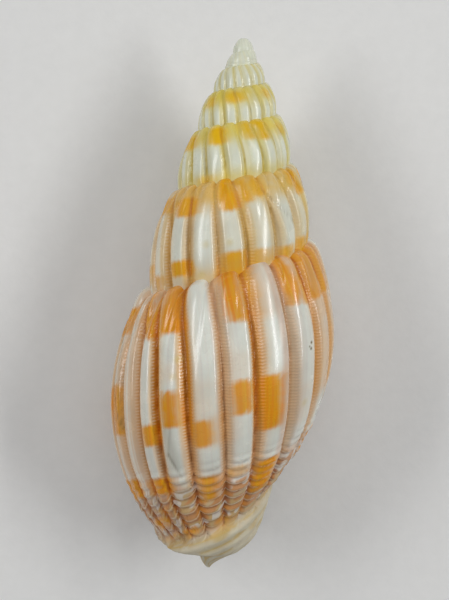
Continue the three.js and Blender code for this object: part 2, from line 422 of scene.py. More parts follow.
def last_base():
    columns = COLUMNS_PER_TURN[0][1]
    n = (LIP_STATION - np.arange(columns, -1, -1) / columns)[:, None]
    depth = base_row(n, np.linspace(0, 1, ROWS_ON_BASE + 1)[None, :])
    return n + 0 * depth, depth, outer_points(n, depth)


def plait_relief(depth, back):
    """Spiral folds that wind back round the columella."""
    return sum(height * bell(depth + PLAIT_SLOPE * back, at, width) for at, width, height in PLAITS)


def hollow_at(back, depth, share, thickness, lining):
    """Inner and outer radius of the hollow, a slit that pinches shut at its top and its foot."""
    below_seam = smoothstep(share, 0, MOUTH_TOP)
    opening = below_seam * (1 - smoothstep(share, *MOUTH_FOOT))
    columella = whorl_radius(LAST_TURN_START - back, depth, 0) + lining * below_seam
    outside = whorl_radius(LIP_STATION - back, depth, 0)
    gap = np.maximum(outside - thickness - columella, LEAST_GAP) * opening
    least_wall = np.minimum(np.minimum(thickness, THINNEST_WALL), outside / 2) * below_seam
    outer = np.minimum(columella + gap, outside - least_wall)
    plaits = plait_relief(depth, back) * lining / CALLUS * np.minimum(1, gap / LEAST_GAP)
    inner = np.minimum(columella + plaits, outer - LEAST_GAP * opening)
    return inner, outer, below_seam


def mouth():
    """The mouth's rings round the edge of the lip first, then lead inwards and draw to a point."""
    down = np.linspace(0, 1, ROWS_ON_BASE + 1)
    rows = 2 * ROWS_ON_BASE + ROWS_PER_WHORL + 1
    on_columella = np.arange(rows) <= ROWS_ON_BASE
    n = np.where(on_columella, LAST_TURN_START, LIP_STATION)[:, None]
    up_whorl = lerp(seam_depth(LIP_STATION), seam_depth(LIP_STATION + 1), whorl_rows()[-2::-1])
    depth = np.concatenate([base_row(LAST_TURN_START, down), base_row(LIP_STATION, down[-2::-1]), up_whorl])
    depth = depth[:, None]
    ring = np.arange(MOUTH_RINGS + 1)[None, :]
    edge = np.minimum(1, ring / ROUNDING_RINGS)
    rounded = (1 - np.cos(edge * math.pi)) / 2
    last_ring = MOUTH_RINGS - 1
    inwards = np.clip((ring - ROUNDING_RINGS) / (last_ring - ROUNDING_RINGS), 0, 1)
    back = MOUTH_TURNS * inwards
    thickness = (WALL + LIP_SWELLING * (1 - inwards)) * rounded

    ring_top = seam_depth(LIP_STATION) + SEAM_FILLING * rounded
    ring_foot = lerp(SHELL_LENGTH, MOUTH_FLOOR, (rounded + inwards) / 2)
    share = (depth - seam_depth(LIP_STATION)) / (SHELL_LENGTH - seam_depth(LIP_STATION))
    ring_depth = lerp(ring_top, ring_foot, share)
    inner, outer, below_seam = hollow_at(back, ring_depth, share, thickness, CALLUS * rounded)
    forward = swept_station(n, ring_depth) - n + LIP_ROUNDING * np.sin(edge * math.pi)
    columella = place(n - back + 0 * ring_depth, ring_depth, inner)
    lip = place(n - back + forward * below_seam, ring_depth, outer)
    points = np.where(on_columella[:, None, None], columella, lip)
    points[:, 0] = outer_points(n, depth)[:, 0]

    end_inner, end_outer, _ = hollow_at(MOUTH_TURNS, HOLLOW_END["depth"], 0.5, WALL, CALLUS)
    end_station = LIP_STATION - MOUTH_TURNS - HOLLOW_END["turn"]
    points[:, -1] = place(end_station, HOLLOW_END["depth"], (end_inner + end_outer) / 2)
    return n - back + 0 * ring_depth, ring_depth, points


# Marks that the photograph shows: (rib number from, to, share down the whorl from, to, depth of
# colour). A share above 1 is on the base.
MARKS = [
    # last whorl, upper band
    (2.12, 2.72, -0.1, 0.36, 1.0), (3.98, 4.88, -0.1, 0.37, 0.95), (4.95, 5.45, -0.1, 0.40, 1.0),
    (5.45, 6.05, -0.1, 0.38, 0.8), (0.42, 0.95, -0.1, 0.33, 0.85), (-1.7, 0.42, -0.1, 0.34, 0.7),
    (7.08, 8.35, 0.16, 0.34, 0.8), (1.82, 2.16, -0.1, 0.3, 0.45),
    # last whorl, middle band
    (2.20, 2.74, 0.78, 1.02, 0.75), (1.40, 1.95, 0.79, 1.20, 1.0), (4.22, 4.78, 0.77, 1.03, 0.95),
    (3.40, 3.82, 1.02, 1.20, 0.7), (4.90, 5.75, 1.00, 1.15, 0.8), (7.05, 8.20, 0.69, 1.05, 0.9),
    # last whorl, base
    (3.30, 3.84, 1.45, 1.66, 0.8), (1.30, 1.90, 1.47, 1.75, 0.85), (4.71, 6.06, 1.40, 1.52, 0.95),
    (-1.60, -0.40, 1.45, 1.69, 0.8), (2.30, 2.85, 1.44, 1.51, 0.4), (6.65, 9.15, 1.38, 1.51, 0.8),
    (5.58, 6.19, 1.62, 1.67, 0.9), (6.10, 7.70, 1.68, 1.74, 0.7), (4.48, 5.47, 1.83, 1.90, 0.9),
    (6.36, 7.82, 1.80, 1.84, 0.7), (2.73, 3.43, 1.88, 1.97, 0.6), (3.42, 4.09, 1.96, 2.02, 0.6),
    # whorl above
    (-14.24, -13.30, 0.14, 0.33, 0.8), (-15.88, -15.36, -0.02, 0.33, 1.0), (-16.38, -16.06, 0.0, 0.27, 0.7),
    (-16.95, -16.51, 0.0, 0.21, 0.55), (-19.34, -18.56, 0.0, 0.30, 1.0), (-12.98, -12.0, 0.08, 0.26, 0.7),
    (-14.10, -13.20, 0.82, 0.98, 0.85), (-15.95, -15.10, 0.80, 1.11, 0.8), (-16.75, -15.90, 0.82, 1.02, 0.55),
    (-17.60, -17.10, 0.86, 1.02, 0.7), (-19.30, -18.14, 0.83, 1.13, 0.8), (-12.70, -12.10, 0.94, 1.10, 0.7),
    # third whorl from the mouth, and the one above it
    (-32.18, -31.44, 0.05, 0.33, 0.85), (-33.84, -33.37, 0.0, 0.32, 0.9), (-34.72, -34.04, 0.0, 0.35, 0.85),
    (-30.37, -28.75, 0.10, 0.33, 0.8), (-36.34, -35.62, 0.12, 0.34, 0.45), (-31.28, -30.64, 0.86, 1.0, 0.4),
    (-50.69, -49.44, 0.10, 0.40, 0.6), (-48.02, -47.42, 0.14, 0.42, 0.5), (-53.38, -52.51, 0.14, 0.37, 0.45),
]
# Faint warm areas with soft edges, in the same values
SHADES = [
    (1.72, 2.2, -0.2, 0.34, 1.0), (2.25, 2.68, 0.58, 0.78, 0.25), (3.2, 3.8, 0.74, 1.02, 0.25),
    (5.9, 7.4, -0.1, 0.3, 0.3), (-1.7, -0.2, 0.34, 1.1, 0.75), (3.1, 3.5, 1.0, 1.2, 0.7),
    (1.1, 1.45, 0.78, 1.2, 0.45), (0.5, 1.1, 0.95, 1.25, 0.3), (4.2, 4.7, 0.6, 0.7, 0.3),
    (7.3, 8.4, 0.35, 0.65, 0.3), (-18.3, -16.9, 0.0, 0.3, 0.55),
    (-15.2, -14.2, 0.02, 0.32, 0.5), (-14.2, -13.2, 0.0, 0.12, 0.4), (-15.1, -14.1, 0.88, 1.1, 0.3),
    (-19.5, -18.3, 0.3, 0.85, 0.5), (-33.2, -32.1, 0.1, 0.42, 0.3), (-34.6, -33.4, 0.82, 1.0, 0.3),
    (-17.0, -15.6, 0.3, 0.8, 0.2), (-13.0, -11.6, 0.3, 0.9, 0.25), (6.0, 8.3, 0.36, 1.35, 0.3),
    (-20, -12, -0.3, 0.26, 0.9), (-37, -28, -0.3, 0.32, 0.9), (-54, -46, -0.2, 0.45, 1.0),
    (-73, -62, -0.2, 0.3, 0.25), (-36, -29, 0.84, 1.1, 0.7), (-18, -13, 0.93, 1.2, 0.6),
]
# Scars: rib numbers and shares down the whorl at the two ends of a line, half width and height in
# millimetres, and depth of stain
SCARS = [
    ((-16.88, -17.80), (0.16, 0.62), 0.09, -0.16, 0.16), ((-16.97, -17.36), (0.20, 0.84), 0.22, 0.22, 0.0),
    ((4.50, 4.66), (1.04, 1.24), 0.1, -0.05, 0.15), ((4.66, 4.5), (1.22, 1.33), 0.12, -0.08, 0.4),
    ((4.5, 4.38), (1.33, 1.42), 0.09, -0.05, 0.25), ((4.62, 4.4), (1.02, 1.36), 0.5, 0.0, 0.22),
    ((7.55, 6.95), (0.3, 1.15), 0.05, -0.03, 0.2), ((7.2, 6.8), (0.36, 1.15), 0.05, -0.03, 0.2),
    ((8.35, 7.10), (0.22, 1.02), 0.07, -0.08, 0.6), ((7.75, 6.60), (0.25, 1.02), 0.06, -0.04, 0.25),
]
# Spots: rib number, share down the whorl, radius in millimetres, depth of colour
DARK_SPOTS = [(0.37, 0.64, 0.2, 1.0), (0.40, 0.685, 0.2, 1.0), (0.46, 0.665, 0.14, 0.8)]
OCHRE_SPOTS = [
    (4.18, 0.56, 0.5, 0.45), (4.32, 0.675, 0.45, 0.4), (-14.63, 0.675, 0.5, 0.35), (-15.4, 0.69, 0.45, 0.35),
    (0.58, 1.1, 0.5, 0.35), (-14.45, 1.0, 0.5, 0.35),
]
SEEN = [(-2.5, 9.3), (-20, -12), (-37, -28), (-54.5, -46.5)]  # rib numbers whose marks are listed
# Where the photograph doesn't reach: the ribs, the bands as shares down and the chance of a mark, and
# how far the marks vary, as shares of a rib and of the whorl
HIDDEN_RIBS = range(-60, 12)
HIDDEN_BANDS = [(0.08, 0.33, 0.5), (0.80, 1.04, 0.5), (1.40, 1.58, 0.45)]
HIDDEN_MARK = {"start": (0.12, 0.24), "end": (0.72, 0.88), "shift": 0.05, "faintest": 0.6}
SEEDS = {"marks": 11, "warmth": 5, "flanks": 7}

# How orange the spaces between the ribs are, by their numbers, where the photograph shows them
SPACE_WARMTH = {
    -1: 0.55, 0: 0.75, 1: 0.0, 2: 0.95, 3: 0.22, 4: 1.0, 5: 1.0, 6: 0.45, 7: 0.35, 8: 0.6, 9: 0.3,
    -13: 0.8, -14: 0.45, -15: 0.45, -16: 0.8, -17: 0.35, -18: 0.4, -19: 0.8, -32: 0.7, -33: 0.35,
}
WARMTH_FADES = {"over": (1.0, 1.25), "by": 0.5}  # shares down the whorl
# How far the warm flank on a space's left reaches up its rib: 0 is the edge and 1 the crest
# The flank's tint is partly the shell's own warm colour, partly painted shade on the rib's steep side
FLANK_REACH = {
    -1: 0.4, 0: 0.4, 1: 0.85, 2: 0.15, 3: 0.1, 4: 0.35, 5: 0.3, 6: 0.6, 7: 0.5, 8: 0.5,
    -13: 0.8, -14: 0.35, -15: 0.15, -16: 0.3, -17: 0.6, -18: 0.4, -19: 0.8,
}


def all_marks():
    """The marks listed, and others laid by the same rule where the photograph doesn't reach."""
    draw = np.random.default_rng(SEEDS["marks"])
    marks = list(MARKS)
    for rib in HIDDEN_RIBS:
        if any(start <= rib + 0.5 <= end for start, end in SEEN):
            continue
        for top, bottom, chance in HIDDEN_BANDS:
            side, shift, strength, lot = draw.uniform(0, 1, 4)
            if lot < chance:
                start, end = (rib + lerp(*HIDDEN_MARK[name], side) for name in ("start", "end"))
                shift = HIDDEN_MARK["shift"] * (shift - 0.5)
                colour = lerp(HIDDEN_MARK["faintest"], 1, strength)
                marks.append((start, end, top + shift, bottom + shift, colour))
    return marks


MARK_CORNER = 0.22  # mm
MARK_EDGE = {"along": 1.0, "across": 0.35}  # how fast a mark sets in down the whorl and round it
SHADE_EDGE = 1.5  # mm
FAR_OUTSIDE = -9.0  # mm, where no mark is near


def inside_patch(n, depth, start, end, top, bottom):
    """Distance in millimetres inside the edge of a patch with round corners and softer sides."""
    across = (np.abs(leaning_rib_number(n, depth) - (start + end) / 2) - (end - start) / 2) * rib_spacing(n)
    along = (np.abs(spiral_share(n, depth) - (top + bottom) / 2) - (bottom - top) / 2) * whorl_height(n)
    across = across * MARK_EDGE["across"] + MARK_CORNER
    along = along * MARK_EDGE["along"] + MARK_CORNER
    outside = np.hypot(np.maximum(across, 0), np.maximum(along, 0))
    return MARK_CORNER - outside - np.minimum(np.maximum(across, along), 0)


def mark_field(n, depth):
    """Distance inside the nearest mark's edge, and that mark's depth of colour."""
    nearest = np.full(n.shape, FAR_OUTSIDE)
    strength = np.zeros(n.shape)
    for start, end, top, bottom, colour in all_marks():
        inside = inside_patch(n, depth, start, end, top, bottom)
        strength = np.where(inside > nearest, colour, strength)
        nearest = np.maximum(nearest, inside)
    return nearest, strength


def shade_field(n, depth):
    """Depth of the faint warm areas."""
    total = np.zeros(n.shape)
    for start, end, top, bottom, colour in SHADES:
        inside = inside_patch(n, depth, start, end, top, bottom)
        total = np.maximum(total, colour * smoothstep(inside, -SHADE_EDGE / 2, SHADE_EDGE / 2))
    return total


def scar_stain(n, depth):
    return np.clip(sum(scar[4] * scar_nearness(n, depth, scar) for scar in SCARS), 0, 1)


SPACES = (-130, 19)  # the first space's number and the last one's
DRAWN_VALUES = {"least": 0.2, "most": 0.9, "power": 1.3}


def by_space(n, depth, listed, seed):
    """A value of the nearest space: listed, or drawn where the photograph doesn't reach."""
    first, last = SPACES
    draw = np.random.default_rng(seed)
    values = draw.uniform(DRAWN_VALUES["least"], DRAWN_VALUES["most"], last - first + 1)
    values = values ** DRAWN_VALUES["power"]
    for number, value in listed.items():
        values[number - first] = value
    nearest = np.clip(np.round(leaning_rib_number(n, depth)), first, last).astype(int)
    return values[nearest - first]


# Where each look of the surface sets in, from none to full
SETS_IN = {
    "growth": (5.3, 7.3), "age": (3.6, 5.6), "ribbed": (1.9, 3.4),  # stations
    "base": (1.3, 1.6),  # shares down the whorl
    "foot": (-1.5, 0.2),  # millimetres below the first foot ridge
    "glaze": (0.1, 0.02),  # turns after the last turn's start
}


def surface_values(n, depth):
    """What the materials need to know at each point of the outside."""
    distance, strength = mark_field(n, depth)
    low_down = smoothstep(spiral_share(n, depth), *WARMTH_FADES["over"])
    in_reach_of_foot = n > LAST_TURN_START - 0.01
    return {
        "rib_number": leaning_rib_number(n, depth),
        "spiral_share": spiral_share(n, depth),
        "thread_phase": (depth - coil_depth(n)) / THREAD_SPACING,
        "cord_phase": cord_phase(n, depth),
        "foot_phase": foot_phase(n, depth),
        **{name: smoothstep(n, *SETS_IN[name]) for name in ("growth", "age", "ribbed")},
        "mark_distance": distance,
        "mark_strength": strength,
        "shade": shade_field(n, depth),
        "stain": scar_stain(n, depth),
        "warmth": by_space(n, depth, SPACE_WARMTH, SEEDS["warmth"]) * (1 - WARMTH_FADES["by"] * low_down),
        "flank_reach": by_space(n, depth, FLANK_REACH, SEEDS["flanks"]),
        "base": smoothstep(spiral_share(n, depth), *SETS_IN["base"]),
        "foot": smoothstep(depth - foot_ridge_depth(n), *SETS_IN["foot"]) * in_reach_of_foot,
        "glaze": smoothstep(n - LAST_TURN_START, *SETS_IN["glaze"]) * (depth > seam_depth(n + 1)),
    }


def polygons_of(sheet, columns, rows, offset):
    """Four-sided faces of a sheet. Where a coarse column's foot meets the fine columns of the next
    turn, the face takes in their points too. A corner is (point, point whose values it takes)."""
    corner = offset + np.arange(columns * rows).reshape(columns, rows)
    quads = np.stack([corner[:-1, :-1], corner[1:, :-1], corner[1:, 1:], corner[:-1, 1:]], axis=-1)
    polygons = [[(i, i) for i in quad] for quad in quads.reshape(-1, 4).tolist()]
    if sheet == 0:
        stations = whorl_stations()
        for column in range(columns - 1):
            left, right = np.searchsorted(stations, stations[column : column + 2] + 1 - 1e-9)
            if right - left > 1 and right < columns:
                polygon = polygons[column * (rows - 1) + rows - 2]
                foot = polygon[3][0]
                polygon[3:3] = [(int(corner[between, 0]), foot) for between in range(right - 1, left, -1)]
    return polygons


def shell_mesh():
    """One closed mesh of the three sheets, with the values at each face corner."""
    points, polygons, values, sheet_of = [], [], [], []
    offset = 0
    for sheet, (n, depth, where) in enumerate([whorls(), last_base(), mouth()]):
        columns, rows = n.shape
        points.append(where.reshape(-1, 3))
        polygons.extend(polygons_of(sheet, columns, rows, offset))
        known = surface_values(n, depth)
        if sheet == 2:
            known["glaze"] = np.ones(n.shape)
        values.append({name: value.ravel() for name, value in known.items()})
        sheet_of.extend([sheet] * (len(polygons) - len(sheet_of)))
        offset += columns * rows
    points = np.concatenate(points)
    rounded = np.rint(points * WELD_STEPS).astype(np.int64)
    _, first, shared = np.unique(rounded, axis=0, return_index=True, return_inverse=True)
    shared = shared.ravel().tolist()
    faces, sources, inner = [], [], []
    for polygon, sheet in zip(polygons, sheet_of):
        kept = [i for i in range(len(polygon)) if shared[polygon[i][0]] != shared[polygon[i - 1][0]]]
        if len(kept) > 2:
            faces.append([shared[polygon[i][0]] for i in kept])
            sources.extend(polygon[i][1] for i in kept)
            inner.append(sheet == 2)
    mesh = bpy.data.meshes.new("shell_surface")
    mesh.from_pydata((fitted(laid_down(points[first])) * MM).tolist(), [], faces)
    for name in values[0]:
        layer = mesh.attributes.new(name, "FLOAT", "CORNER")
        along = np.concatenate([sheet[name] for sheet in values])
        layer.data.foreach_set("value", along[sources].astype(np.float32))
    mesh.polygons.foreach_set("material_index", np.array(inner, dtype=np.int32))
    mesh.shade_smooth()
    mesh.set_sharp_from_angle(angle=CREASE)
    return mesh


FIT = {}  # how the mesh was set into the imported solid's box, for the camera


def fitted(points):
    """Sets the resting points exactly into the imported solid's box, and keeps how."""
    low, high = (np.array(corner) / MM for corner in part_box("shell"))
    scale = (high - low) / (points.max(axis=0) - points.min(axis=0))
    FIT["scale"] = scale
    FIT["shift"] = low - points.min(axis=0) * scale
    return points * scale + FIT["shift"]


def srgb(red, green, blue):
    """A colour given as 0 to 255 on a screen, as the linear one that the shaders take."""
    shares = [channel / 255 for channel in (red, green, blue)]
    return tuple(s / 12.92 if s <= 0.04045 else ((s + 0.055) / 1.055) ** 2.4 for s in shares) + (1.0,)


# Colours of the shell
RIB_WHITE = srgb(232, 233, 220)
RIB_GREY = srgb(224, 217, 207)
# Flank colours: partly the ribs' own warm tint, partly painted shade on their steep right sides and gentle
# left sides
FLANK_TAN_AND_SHADE = srgb(224, 202, 182)
FLANK_PEACH_AND_SHADE = srgb(234, 196, 144)
SPACE_TAN = srgb(222, 195, 161)
SPACE_ORANGE = srgb(220, 150, 44)
# Groove colours: partly the shell's brown groove line, partly painted shade in the recess
GROOVE_TAN_AND_SHADE = srgb(192, 142, 94)
GROOVE_ORANGE_AND_SHADE = srgb(174, 94, 2)
BEAD_CREAM = srgb(244, 216, 186)
MARK_YELLOW = srgb(232, 168, 6)
MARK_ORANGE = srgb(230, 134, 0)
# Partly the mark's own colour, partly painted shade where a mark dips into a groove
MARK_DEEP_AND_SHADE = srgb(200, 106, 0)
SHADE_ORANGE = srgb(228, 164, 76)
SPIRE_CREAM = srgb(232, 234, 212)
# Partly the spire ribs' own tint, partly painted shade on their sides
SPIRE_FLANK_AND_SHADE = srgb(226, 214, 148)
SPIRE_OCHRE = srgb(222, 208, 120)
# Partly the spire's ochre groove, partly painted shade in the recess
SPIRE_GROOVE_AND_SHADE = srgb(200, 174, 60)
SPIRE_MARK = srgb(236, 186, 0)
SPIRE_SHADE = srgb(228, 206, 88)
BASE_TAN = srgb(196, 154, 84)
BASE_BROWN = srgb(156, 82, 18)
BASE_ORANGE = srgb(200, 122, 12)
CORD_CREAM = srgb(238, 214, 176)
FOOT_CREAM = srgb(212, 205, 180)
FOOT_YELLOW = srgb(206, 176, 98)
SCAR_BROWN = srgb(108, 92, 36)
SPOT_OCHRE = srgb(214, 190, 100)
PORCELAIN = srgb(240, 228, 214)
PORCELAIN_DEEP = srgb(222, 178, 140)
PAPER_GREY = srgb(232, 231, 228)
PAPER_WHITE = srgb(239, 238, 235)

# Finishes
CLOUDS_PER_METRE = 420.0
GRAINS_PER_METRE = 900.0
SHELL_IOR = 1.53
SCATTER_LENGTH = 0.3 * MM
SCATTER_RATIOS = (1.0, 0.7, 0.5)  # red reaches furthest


class Tree:
    """A node tree with short ways to add nodes and link them."""

    def __init__(self, tree):
        self.tree = tree

    def node(self, kind, **settings):
        node = self.tree.nodes.new(kind)
        for name, value in settings.items():
            setattr(node, name, value)
        return node

    def feed(self, socket, value):
        if isinstance(value, bpy.types.NodeSocket):
            self.tree.links.new(value, socket)
        else:
            socket.default_value = value

    def fill(self, node, values):
        """Sets or links a node's sockets by their names."""
        for name, value in values.items():
            self.feed(node.inputs[name], value)

    def math(self, operation, *values):
        node = self.node("ShaderNodeMath", operation=operation)
        for socket, value in zip(node.inputs, values):
            self.feed(socket, value)
        return node.outputs[0]

    def times(self, first, second):
        return self.math("MULTIPLY", first, second)

    def larger(self, first, second):
        return self.math("MAXIMUM", first, second)

    def step(self, value, start, end, low=0.0, high=1.0):
        """Goes smoothly from low to high while the value goes from start to end."""
        node = self.node("ShaderNodeMapRange", interpolation_type="SMOOTHSTEP")
        self.fill(node, {"Value": value, "From Min": start, "From Max": end, "To Min": low, "To Max": high})
        return node.outputs["Result"]

    def bump_at(self, value, centre, reach):
        """1 where the value is at the centre, falling to 0 at the reach on both sides."""
        return self.step(self.math("ABSOLUTE", self.math("SUBTRACT", value, centre)), reach, 0.0)

    def mix(self, share, first, second, blend="MIX"):
        node = self.node("ShaderNodeMix", data_type="RGBA", blend_type=blend)
        self.feed(node.inputs[0], share)
        self.feed(node.inputs[6], first)
        self.feed(node.inputs[7], second)
        return node.outputs[2]

    def noise(self, vector, scale, detail=3.0):
        node = self.node("ShaderNodeTexNoise")
        self.fill(node, {"Vector": vector, "Scale": scale, "Detail": detail, "Roughness": 0.55})
        return node.outputs["Fac"]

    def value_of(self, name):
        return self.node("ShaderNodeAttribute", attribute_name=name).outputs["Fac"]

    def values_of(self, *names):
        return [self.value_of(name) for name in names]

    def combine(self, x, y, z=0.0):
        node = self.node("ShaderNodeCombineXYZ")
        for socket, value in zip(node.inputs, (x, y, z)):
            self.feed(socket, value)
        return node.outputs[0]


def new_group(name, inputs, outputs):
    """A node group with named number sockets, and its own input and output nodes."""
    group = bpy.data.node_groups.new(name, "ShaderNodeTree")
    for socket_name, default in inputs.items():
        socket = group.interface.new_socket(socket_name, in_out="INPUT", socket_type="NodeSocketFloat")
        socket.default_value = default
    for socket_name in outputs:
        group.interface.new_socket(socket_name, in_out="OUTPUT", socket_type="NodeSocketFloat")
    tree = Tree(group)
    return group, tree, tree.node("NodeGroupInput").outputs, tree.node("NodeGroupOutput").inputs


def place_group(tree, group, values):
    node = tree.node("ShaderNodeGroup", node_tree=group)
    tree.fill(node, values)
    return node.outputs


def growth_lines_group():
    """Fine lines of growth that follow the ribs, and slow clouds in the glaze."""
    inputs = {"Rib number": 0.0, "Spiral share": 0.0, "Lines per rib": 9.0}
    group, tree, given, out = new_group("growth lines", inputs, ["Lines", "Clouds"])
    across = tree.times(given["Rib number"], given["Lines per rib"])
    tree.feed(out["Lines"], tree.noise(tree.combine(across, tree.times(given["Spiral share"], 0.7)), 1.0))
    place_in_metres = tree.node("ShaderNodeTexCoord").outputs["Object"]
    tree.feed(out["Clouds"], tree.noise(place_in_metres, CLOUDS_PER_METRE, 4.0))
    return group


def threads_group():
    """Fine spiral threads that wander a little."""
    group, tree, given, out = new_group("spiral threads", {"Phase": 0.0, "Rib number": 0.0}, ["Height"])
    wander = tree.noise(tree.combine(given["Rib number"], tree.times(given["Phase"], 0.15)), 0.8)
    wave = tree.math("SINE", tree.times(tree.math("ADD", given["Phase"], wander), TURN))
    tree.feed(out["Height"], tree.math("MULTIPLY_ADD", wave, 0.5, 0.5))
    return group


# Bands across a space, as shares of the way from the crest on its right to the crest on its left:
# where each sets in, and where it ends
BANDS = {
    "Space": ((0.2, 0.44), (0.69, 0.61)),
    # The groove: its darker colour is partly the shell's own, partly painted shade in the recess
    "Groove": ((0.42, 0.52), (0.64, 0.56)),
    # The gentle left side of a rib, tinted towards the space: partly the shell's own tint, partly painted
    # shade
    "Fade": ((0.0, 0.42), (0.66, 0.56)),
}
# The flank band on a rib's steep right side: its tint is partly the shell's own, partly painted shade
FLANK = {"sets_in": (0.58, 0.64), "shortest": 0.72, "reach": 0.24, "edge": 0.14}
BEAD_ROWS = {"places": (0.36, 0.64), "width": 0.05}
TEETH = 0.03  # how far the threads' ends cut into the edges of a space


def rib_bands_group():
    """Bands between two crests: the space and the groove in it, the gentle side that fades into it,
    the warm flank of the rib on its left, and the rows of beads where threads cross its edges. The
    groove, the gentle side and the flank carry painted shade as well as the shell's own tints."""
    inputs = {"Rib number": 0.0, "Threads": 0.5, "Flank reach": 0.5}
    group, tree, given, out = new_group("rib bands", inputs, [*BANDS, "Flank", "Beads"])
    across = tree.math("FRACT", tree.math("ADD", given["Rib number"], 0.5))
    toothed = tree.math("MULTIPLY_ADD", given["Threads"], TEETH, across)
    for name, (sets_in, ends) in BANDS.items():
        edge = toothed if name == "Space" else across
        tree.feed(out[name], tree.times(tree.step(edge, *sets_in), tree.step(edge, *ends)))
    flank_end = tree.math("MULTIPLY_ADD", given["Flank reach"], FLANK["reach"], FLANK["shortest"])
    flank = tree.step(across, flank_end, tree.math("SUBTRACT", flank_end, FLANK["edge"]))
    tree.feed(out["Flank"], tree.times(tree.step(across, *FLANK["sets_in"]), flank))
    rows = [tree.bump_at(across, at, BEAD_ROWS["width"]) for at in BEAD_ROWS["places"]]
    beads = tree.times(given["Threads"], given["Threads"])
    tree.feed(out["Beads"], tree.times(tree.math("ADD", *rows), beads))
    return group


def new_material(name):
    material = bpy.data.materials.new(name)
    material.use_nodes = True
    shader = material.node_tree.nodes["Principled BSDF"]
    return material, Tree(material.node_tree), shader


def set_gloss(tree, shader, coat_roughness, scatter):
    tree.fill(shader, {"Coat Roughness": coat_roughness, "IOR": SHELL_IOR, "Subsurface Weight": scatter})
    tree.fill(shader, {"Subsurface Radius": SCATTER_RATIOS, "Subsurface Scale": SCATTER_LENGTH})


def bumped(tree, shader, height, distance, strength=1.0):
    bump = tree.node("ShaderNodeBump")
    tree.fill(bump, {"Height": height, "Distance": distance, "Strength": strength})
    tree.feed(shader.inputs["Normal"], bump.outputs["Normal"])


def blotches(tree, number, down, per_rib, per_cord):
    """A plain noise, stretched by how many blotches there are to a rib and to a cord."""
    return tree.noise(tree.combine(tree.times(number, per_rib), tree.times(down, per_cord)), 1.0, 1.0)


def rib_colour(tree, number, growth, bands, lines):
    """White ribs with a warm flank, and tan to orange spaces with a darker groove and light beads.
    The flank, the gentle side and the groove are partly painted shade.
    """
    warmth = tree.value_of("warmth")
    streaks = tree.step(lines["Lines"], 0.4, 0.75, 0.0, 0.6)
    white = tree.mix(streaks, RIB_WHITE, RIB_GREY)
    # The flank colour is partly the ribs' own warm tint, partly painted shade
    flank = tree.mix(warmth, FLANK_TAN_AND_SHADE, FLANK_PEACH_AND_SHADE)
    near_lip = tree.times(tree.step(number, 5.4, 6.6), tree.step(lines["Lines"], 0.42, 0.6, 0.0, 0.7))
    white = tree.mix(near_lip, white, flank)
    # Painted shade mixed with the ribs' own tint: the steep right flank and the gentle left side go towards
    # the flank colour
    fading = tree.larger(tree.times(bands["Flank"], 0.9), tree.times(bands["Fade"], 0.7))
    white = tree.mix(fading, white, flank)
    spire_white = tree.mix(tree.times(fading, 0.8), SPIRE_CREAM, SPIRE_FLANK_AND_SHADE)
    white = tree.mix(growth, spire_white, white)
    space = tree.mix(warmth, SPACE_TAN, SPACE_ORANGE)
    # The darker groove colour is partly the shell's brown groove line and partly painted shade in the recess
    groove = tree.mix(warmth, GROOVE_TAN_AND_SHADE, GROOVE_ORANGE_AND_SHADE)
    space = tree.mix(tree.times(bands["Groove"], 0.75), space, groove)
    spire_space = tree.mix(warmth, SPIRE_CREAM, SPIRE_OCHRE)
    # On the spire the darker groove, partly painted shade in the recess, shows more on the later whorls
    groove_shade_shows = tree.step(tree.value_of("age"), 0.0, 1.0, 0.3, 0.75)
    spire_space = tree.mix(tree.times(bands["Groove"], groove_shade_shows), spire_space, SPIRE_GROOVE_AND_SHADE)
    space = tree.mix(growth, spire_space, space)
    colour = tree.mix(bands["Space"], white, space)
    beads = tree.times(tree.times(bands["Beads"], growth), 0.55)
    return tree.mix(beads, colour, BEAD_CREAM)


def base_colour(tree, ribs, base, bands, number, lines):
    """Below its widest place the shell is tan with brown, orange and white patches, and the cords
    have pale edges with dark lines beneath them: brown and partly painted shade in the step
    under each cord."""
    cords = tree.value_of("cord_phase")
    patches = blotches(tree, number, cords, 1.35, 0.7)
    low_down = tree.step(tree.value_of("spiral_share"), 1.5, 1.75)
    leftwards = tree.step(number, 2.6, 4.6)
    crests = tree.mix(tree.larger(low_down, leftwards), RIB_GREY, BASE_TAN)
    ground = tree.mix(bands["Space"], crests, BASE_BROWN)
    ground = tree.mix(tree.step(patches, 0.48, 0.56, 0.0, 0.9), ground, BASE_ORANGE)
    ground = tree.mix(tree.step(patches, 0.42, 0.37, 0.0, 0.75), ground, RIB_GREY)
    near_lip = tree.times(tree.step(number, 4.4, 6.2), tree.step(lines["Lines"], 0.42, 0.58, 0.0, 0.75))
    ground = tree.mix(near_lip, ground, BASE_BROWN)
    across_cord = tree.math("FRACT", cords)
    pale_edge = tree.times(tree.bump_at(across_cord, 0.8, 0.14), 0.6)
    # Partly the base's own brown, partly painted shade in the step under each cord
    dark_line_and_shade = tree.larger(tree.bump_at(across_cord, 0.0, 0.22), tree.bump_at(across_cord, 1.0, 0.14))
    covered = tree.mix(tree.times(base, 0.85), ribs, ground)
    covered = tree.mix(pale_edge, covered, CORD_CREAM)
    covered = tree.mix(tree.times(dark_line_and_shade, 0.35), covered, BASE_BROWN)
    return tree.mix(base, ribs, covered)


def foot_colour(tree, number, lines):
    """Cream ridges round the foot, with yellow lines between them and yellow patches."""
    phase = tree.value_of("foot_phase")
    ridges = tree.math("SQRT", tree.math("ABSOLUTE", tree.math("SINE", tree.times(phase, math.pi))))
    cream = tree.larger(ridges, tree.step(lines["Clouds"], 0.42, 0.6))
    patches = tree.step(blotches(tree, number, phase, 0.5, 0.8), 0.52, 0.64, 0.0, 0.7)
    return tree.mix(patches, tree.mix(cream, FOOT_YELLOW, FOOT_CREAM), FOOT_YELLOW)


